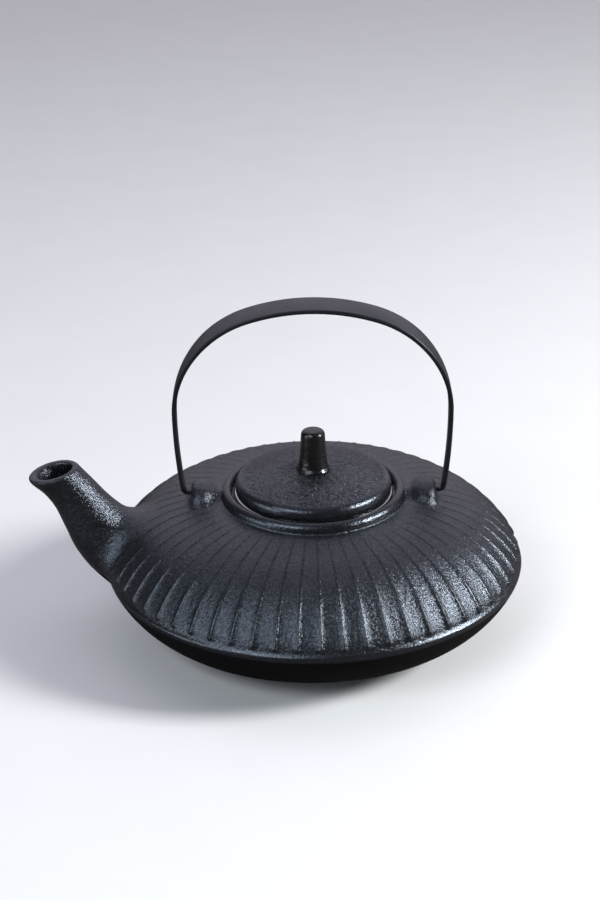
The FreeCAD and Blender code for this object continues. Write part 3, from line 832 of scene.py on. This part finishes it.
def make_base_mesh(material):
    """Woven wire disc at the foot of the basket."""
    edge = DISC_HIGH[0] - WIRE_INSET
    level = (DISC_LOW[2] + DISC_HIGH[2]) / 2
    count = int(edge / WIRE_PITCH)
    parts = []
    for across_wire in (False, True):
        for wire in range(-count, count + 1):
            offset = wire * WIRE_PITCH
            half_length = math.sqrt(edge ** 2 - offset ** 2)
            steps = 2 * max(1, round(half_length / WIRE_PITCH)) + 1
            along = np.linspace(-half_length, half_length, steps)
            sign = -1 if across_wire else 1
            wave = sign * WEAVE * np.cos(math.pi * (along / WIRE_PITCH + wire))
            flat = np.full_like(along, offset)
            ordered = [flat, along] if across_wire else [along, flat]
            parts.append(tube(np.column_stack(ordered + [level + wave]), WIRE_RADIUS, WIRE_SIDES, False))
    vertices, faces = joined(parts)
    piece = new_piece("infuser_base_mesh_visual", vertices, faces, "infuser", "infuser_base_mesh",
                      sharp_angle=NEVER_SHARP)
    return dress(piece, material)


# ---------------------------------------------------------------------------------------------------------
# Materials
# ---------------------------------------------------------------------------------------------------------
def add_node(tree, kind, inputs=(), **settings):
    """A shader node with its inputs set to values or linked to sockets."""
    node = tree.nodes.new(kind)
    for name, value in settings.items():
        setattr(node, name, value)
    for key, value in dict(inputs).items():
        if isinstance(value, bpy.types.NodeSocket):
            tree.links.new(value, node.inputs[key])
        else:
            node.inputs[key].default_value = value
    return node


def noise(tree, place, size, detail=2.0, roughness=0.5, distortion=0.0):
    """Noise whose features are about that many millimetres across."""
    inputs = {"Vector": place, "Scale": 1 / (size * MM), "Detail": detail, "Roughness": roughness,
              "Distortion": distortion}
    return add_node(tree, "ShaderNodeTexNoise", inputs).outputs["Fac"]


def between(tree, share, low, high, from_low=0.3, from_high=0.7):
    """A value moved from its own range to low..high, and held at those ends."""
    inputs = {"Value": share, "From Min": from_low, "From Max": from_high, "To Min": low, "To Max": high}
    return add_node(tree, "ShaderNodeMapRange", inputs).outputs["Result"]


def past(tree, length, start, end):
    """0 where a length in metres is under start and 1 where it is over end, both in millimetres."""
    return between(tree, length, 0, 1, start * MM, end * MM)


def short_of(tree, length, start, end):
    """1 where a length in metres is under start and 0 where it is over end, both in millimetres."""
    return between(tree, length, 1, 0, start * MM, end * MM)


def where(tree, mask, inside, outside):
    """One value where the mask is 1, another where it is 0, and a blend between."""
    return between(tree, mask, outside, inside, 0, 1)


def calculate(tree, operation, *values):
    """Result of a math node on values or sockets."""
    return add_node(tree, "ShaderNodeMath", dict(enumerate(values)), operation=operation).outputs[0]


def calculate_vector(tree, operation, *values):
    """The vector math node for an operation on vectors or sockets."""
    return add_node(tree, "ShaderNodeVectorMath", dict(enumerate(values)), operation=operation)


def product(tree, *values):
    """All the values or sockets multiplied together."""
    result = values[0]
    for value in values[1:]:
        result = calculate(tree, "MULTIPLY", result, value)
    return result


def tint(tree, share, low, high):
    """A colour between two, by share. Each is three numbers or a socket."""
    ends = {6: low, 7: high}
    inputs = {key: end if isinstance(end, bpy.types.NodeSocket) else (*end, 1) for key, end in ends.items()}
    return add_node(tree, "ShaderNodeMix", {0: share, **inputs}, data_type="RGBA").outputs[2]


def bump(tree, height, distance, below=None, strength=1.0):
    """Bump of that many millimetres, on top of another bump if one is given."""
    inputs = {"Height": height, "Distance": distance * MM, "Strength": strength}
    if below:
        inputs["Normal"] = below
    return add_node(tree, "ShaderNodeBump", inputs).outputs["Normal"]


def new_material(name):
    """A node material, its tree, its shader and the place of each point in the CAD frame."""
    material = bpy.data.materials.new(name)
    material.use_nodes = True
    tree = material.node_tree
    place = add_node(tree, "ShaderNodeTexCoord").outputs["Object"]
    return material, tree, tree.nodes["Principled BSDF"], place


def set_shader(tree, shader, values):
    """Set the shader's inputs to values or link them to sockets."""
    for key, value in values.items():
        if isinstance(value, bpy.types.NodeSocket):
            tree.links.new(value, shader.inputs[key])
        else:
            shader.inputs[key].default_value = value


def polar(tree, place):
    """Distance from the Z axis, the angle round it in radians, and the place laid flat."""
    parts = add_node(tree, "ShaderNodeSeparateXYZ", {0: place}).outputs
    flat = calculate_vector(tree, "MULTIPLY", place, (1, 1, 0)).outputs[0]
    radius = calculate_vector(tree, "LENGTH", flat).outputs["Value"]
    angle = calculate(tree, "ARCTAN2", parts["Y"], parts["X"])
    return radius, angle, flat


def on_ribs(tree, angle, half_width):
    """1 along the crest of each rib and 0 between them. The half-width is a share of the spacing."""
    per_radian = FLUTE_COUNT / (2 * math.pi)
    turns = calculate(tree, "MULTIPLY_ADD", angle, per_radian, -FIRST_CUSP * per_radian)
    from_crest = calculate(tree, "PINGPONG", turns, 0.5)
    return between(tree, from_crest, 1, 0, 0.4 * half_width, half_width)


def lid_folds(tree, flat):
    """Uneven folds that run outwards from the knob: noise that changes fast round it, slowly outwards."""
    outwards = calculate_vector(tree, "NORMALIZE", flat).outputs[0]
    circle = calculate_vector(tree, "MULTIPLY", outwards, (0.012, 0.012, 0)).outputs[0]
    slow = calculate_vector(tree, "MULTIPLY", flat, (0.15, 0.15, 0)).outputs[0]
    return noise(tree, calculate_vector(tree, "ADD", circle, slow).outputs[0], 1.1, detail=2, distortion=0.5)


def smooth_places(tree, radius, angle, height):
    """The parts of the iron worn smooth: lid rim and collar, rim bead, and the ribs' outer crests."""
    rims = product(tree, past(tree, radius, *LID_RIM_STARTS), short_of(tree, radius, 38.8, 39.6))
    bead = product(tree, past(tree, radius, 88.4, 88.9), short_of(tree, height, 30.5, 32.0))
    crests = product(tree, on_ribs(tree, angle, 0.05), past(tree, radius, 60.0, 75.0))
    return calculate(tree, "MAXIMUM", calculate(tree, "MAXIMUM", rims, bead), crests)


def painted_rib_shade(tree, place, radius, angle, height):
    """Broken dark lines along the inner ends of the ribs: painted shade that draws the shallow ribs."""
    ends = product(tree, past(tree, radius, 41.0, 46.0), short_of(tree, radius, 66.0, 81.0))
    lines = product(tree, on_ribs(tree, angle, 0.12), ends, past(tree, height, 36.0, 40.0))
    return product(tree, lines, between(tree, noise(tree, place, 4.5, detail=3), 0.25, 1))


def cast_iron():
    """Black cast iron: a fine sand-cast grain breaks up the highlights, except where it is worn smooth.

    The lid has a leathery skin and fine folds in the iron round its knob, with a painted highlight on their
    ridges and painted shade in their pits; broken lines of painted shade lie along the inner ends of the
    ribs; and the underside of the pot is left matt and painted dark, with little specular, as painted shade
    under the pot.
    """
    material, tree, shader, place = new_material("cast iron")
    height = add_node(tree, "ShaderNodeSeparateXYZ", {0: place}).outputs["Z"]
    radius, angle, flat = polar(tree, place)
    # below the crease the underside is painted shade: a darker base colour and little specular
    above_painted_shade = past(tree, height, CREASE_HEIGHT - 1.0, CREASE_HEIGHT + 0.2)
    on_lid = product(tree, short_of(tree, radius, *LID_RIM_STARTS), past(tree, height, 66.0, 67.0))
    near_knob = product(tree, short_of(tree, radius, 8.0, 19.0), past(tree, height, 67.0, 69.0))

    blotches = noise(tree, place, 9, detail=3)
    leather = noise(tree, place, 1.8, detail=2)
    grain = noise(tree, place, 0.75, detail=3, roughness=0.6)
    pits = noise(tree, place, 0.36, detail=1)
    hide = noise(tree, place, 1.3, detail=2, distortion=0.8)
    folds = lid_folds(tree, flat)
    cavities = noise(tree, place, 1.25, detail=3, roughness=0.7)

    strength = where(tree, smooth_places(tree, radius, angle, height), 0.45, 1)
    normal = bump(tree, leather, 0.3, strength=strength)
    normal = bump(tree, hide, 1.0, below=normal, strength=on_lid)
    normal = bump(tree, grain, 0.24, below=normal, strength=strength)
    normal = bump(tree, pits, 0.1, below=normal, strength=strength)
    normal = bump(tree, folds, 0.7, below=normal, strength=near_knob)

    # specular level: a random tone, with painted highlight and shade on the lid's relief and painted shade
    # along the ribs
    shine_and_painted_shade = product(
        tree,
        between(tree, cavities, 0.5, 1.0, 0.34, 0.66),
        # the noises that bump the knob's folds and the lid's skin also raise specular on ridges and lower it
        # in pits: painted highlight and shade
        where(tree, near_knob, between(tree, folds, 0.25, 1.6, 0.4, 0.6), 1),
        where(tree, on_lid, between(tree, hide, 0.35, 1.6, 0.4, 0.6), 1),
        # less specular in broken lines along the rib crests: painted shade that draws the ribs
        where(tree, painted_rib_shade(tree, place, radius, angle, height), 0.3, 1),
    )
    colour = tint(tree, between(tree, blotches, 0, 1), (0.005, 0.0052, 0.006), (0.009, 0.0094, 0.011))
    set_shader(tree, shader, {
        # below the crease: a darker base and little specular as painted shade under the pot, and a rough
        # matt finish
        "Base Color": tint(tree, above_painted_shade, (0.004, 0.004, 0.004), colour),
        "Metallic": 0.0,
        "Roughness": where(tree, above_painted_shade, between(tree, grain, 0.30, 0.18), 0.6),
        "Specular IOR Level": where(tree, above_painted_shade, shine_and_painted_shade, 0.12),
        "Specular Tint": IRON_SHEEN,
        "Normal": normal,
    })
    return material


def strap_paint():
    """Satin black paint, finely stippled, with a worn sheen where the strap is rubbed."""
    material, tree, shader, place = new_material("strap paint")
    stipple = noise(tree, place, 0.3, detail=1)
    rub = noise(tree, place, 14, detail=3)
    set_shader(tree, shader, {
        "Base Color": tint(tree, between(tree, rub, 0, 1), (0.007, 0.007, 0.008), (0.012, 0.012, 0.014)),
        "Roughness": between(tree, rub, 0.34, 0.46),
        "Specular IOR Level": 0.5,
        "Specular Tint": COOL_SHEEN,
        "Normal": bump(tree, stipple, 0.02),
    })
    return material


def knob_enamel():
    """Glossier black over cast iron, with soft unevenness under the gloss."""
    material, tree, shader, place = new_material("knob enamel")
    waves = noise(tree, place, 2.6, detail=2)
    grain = noise(tree, place, 0.6, detail=2)
    normal = bump(tree, grain, 0.09, below=bump(tree, waves, 0.26))
    set_shader(tree, shader, {
        "Base Color": tint(tree, between(tree, waves, 0, 1), (0.002, 0.002, 0.0022), (0.004, 0.004, 0.0045)),
        "Roughness": between(tree, grain, 0.18, 0.32),
        "Specular IOR Level": 0.5,
        "Normal": normal,
    })
    return material


def stainless_steel():
    """Bright stamped sheet with fine hoop-wise brushing and a few soft smudges."""
    material, tree, shader, place = new_material("stainless steel")
    stretched = add_node(tree, "ShaderNodeMapping", {"Vector": place, "Scale": (1, 1, 18)}).outputs["Vector"]
    brushing = noise(tree, stretched, 1.6, detail=3)
    smudges = noise(tree, place, 11, detail=2)
    set_shader(tree, shader, {
        "Base Color": tint(tree, between(tree, smudges, 0, 1), (0.50, 0.49, 0.47), (0.64, 0.63, 0.61)),
        "Metallic": 1.0,
        "Roughness": between(tree, smudges, 0.1, 0.2),
        "Normal": bump(tree, brushing, 0.01),
    })
    return material


def steel_wire():
    """Drawn stainless wire, slightly dulled between the crossings."""
    material, tree, shader, place = new_material("steel wire")
    dulling = noise(tree, place, 1.2, detail=2)
    set_shader(tree, shader, {
        "Base Color": tint(tree, between(tree, dulling, 0, 1), (0.38, 0.37, 0.36), (0.6, 0.59, 0.57)),
        "Metallic": 1.0,
        "Roughness": between(tree, dulling, 0.24, 0.4),
        "Normal": bump(tree, dulling, 0.02),
    })
    return material


def is_seen(tree):
    """1 for what the camera sees directly, and 0 for what is seen in a reflection."""
    return add_node(tree, "ShaderNodeLightPath").outputs["Is Camera Ray"]


def studio_floor():
    """Plain pale floor that fades into the backdrop. The pot sees it darker than the camera does."""
    material, tree, shader, place = new_material("studio floor")
    mottle = noise(tree, place, 40, detail=3)
    seen = is_seen(tree)
    pale = tint(tree, mottle, (0.76, 0.755, 0.745), (0.80, 0.795, 0.785))
    lit = tint(tree, seen, (0.15, 0.135, 0.13), pale)
    far = product(tree, seen, between(tree, polar(tree, place)[0], 0, 1, *FLOOR_FADES))
    set_shader(tree, shader, {
        "Base Color": tint(tree, far, lit, (0, 0, 0)),
        "Roughness": 0.75,
        "Specular IOR Level": 0.2,
        "Emission Color": (*BACKDROP, 1),
        "Emission Strength": far,
    })
    return material


# ---------------------------------------------------------------------------------------------------------
# Studio
# ---------------------------------------------------------------------------------------------------------
def make_floor(material):
    """A wide square floor that the pot stands on, in metres."""
    mesh = bpy.data.meshes.new("floor")
    half = FLOOR_HALF_WIDTH
    corners = [(-half, -half, 0), (half, -half, 0), (half, half, 0), (-half, half, 0)]
    mesh.from_pydata(corners, [], [(0, 1, 2, 3)])
    mesh.materials.append(material)
    floor = bpy.data.objects.new("floor", mesh)
    bpy.context.scene.collection.objects.link(floor)


def add_light(name, place, size, power, colour):
    """A soft rectangular light that faces the pot."""
    lamp = bpy.data.lights.new(name, "AREA")
    lamp.shape = "RECTANGLE"
    lamp.size, lamp.size_y = size
    lamp.energy = power
    lamp.color = colour
    light = bpy.data.objects.new(name, lamp)
    light.location = place
    light.rotation_euler = (Vector(LIGHT_AIM) - Vector(place)).to_track_quat("-Z", "Y").to_euler()
    bpy.context.scene.collection.objects.link(light)


def make_surroundings():
    """What the pot reflects: a bright, slightly uneven side behind and above it, and a dark front.

    The camera sees an even backdrop in its place.
    """
    world = bpy.data.worlds.new("studio")
    world.use_nodes = True
    tree = world.node_tree
    direction = add_node(tree, "ShaderNodeTexCoord").outputs["Generated"]
    towards_bright = calculate_vector(tree, "DOT_PRODUCT", direction, BRIGHT_SIDE).outputs["Value"]
    glow = tint(tree, between(tree, towards_bright, 0, 1, 0.4, 1.0), DARK_GLOW, BRIGHT_GLOW)
    glow_strength = between(tree, noise(tree, direction, 300, detail=1), 0.6, 1.4)
    seen = is_seen(tree)
    background = tree.nodes["Background"]
    tree.links.new(tint(tree, seen, glow, BACKDROP), background.inputs["Color"])
    tree.links.new(where(tree, seen, 1, glow_strength), background.inputs["Strength"])
    bpy.context.scene.world = world


def place_camera():
    """A long lens from in front and above, turned very slightly."""
    lens = bpy.data.cameras.new("camera")
    lens.lens = LENS_LENGTH
    lens.sensor_width = SENSOR_WIDTH
    lens.sensor_fit = "AUTO"
    camera = bpy.data.objects.new("camera", lens)
    bpy.context.scene.collection.objects.link(camera)
    pitch = math.radians(CAMERA_PITCH)
    turn = Matrix.Rotation(math.pi / 2 - pitch, 4, "X") @ Matrix.Rotation(math.radians(CAMERA_ROLL), 4, "Z")
    camera.matrix_world = Matrix.Translation(Vector(CAMERA_PLACE) * MM) @ turn
    bpy.context.scene.camera = camera
    bpy.context.scene.view_settings.view_transform = "Standard"


def main():
    """Build every piece, the floor, the lights and the camera."""
    iron = cast_iron()
    steel = stainless_steel()
    wire = steel_wire()
    make_pot(iron)
    make_lid(iron)
    make_knob(knob_enamel())
    make_handle(strap_paint())
    make_mesh_wall(wire)
    make_base_mesh(wire)
    for node in CARRIED_OVER:
        dress(frame["nodes"][node], steel)
    make_floor(studio_floor())
    for name, light in LIGHTS.items():
        add_light(name, **light)
    make_surroundings()
    place_camera()


main()
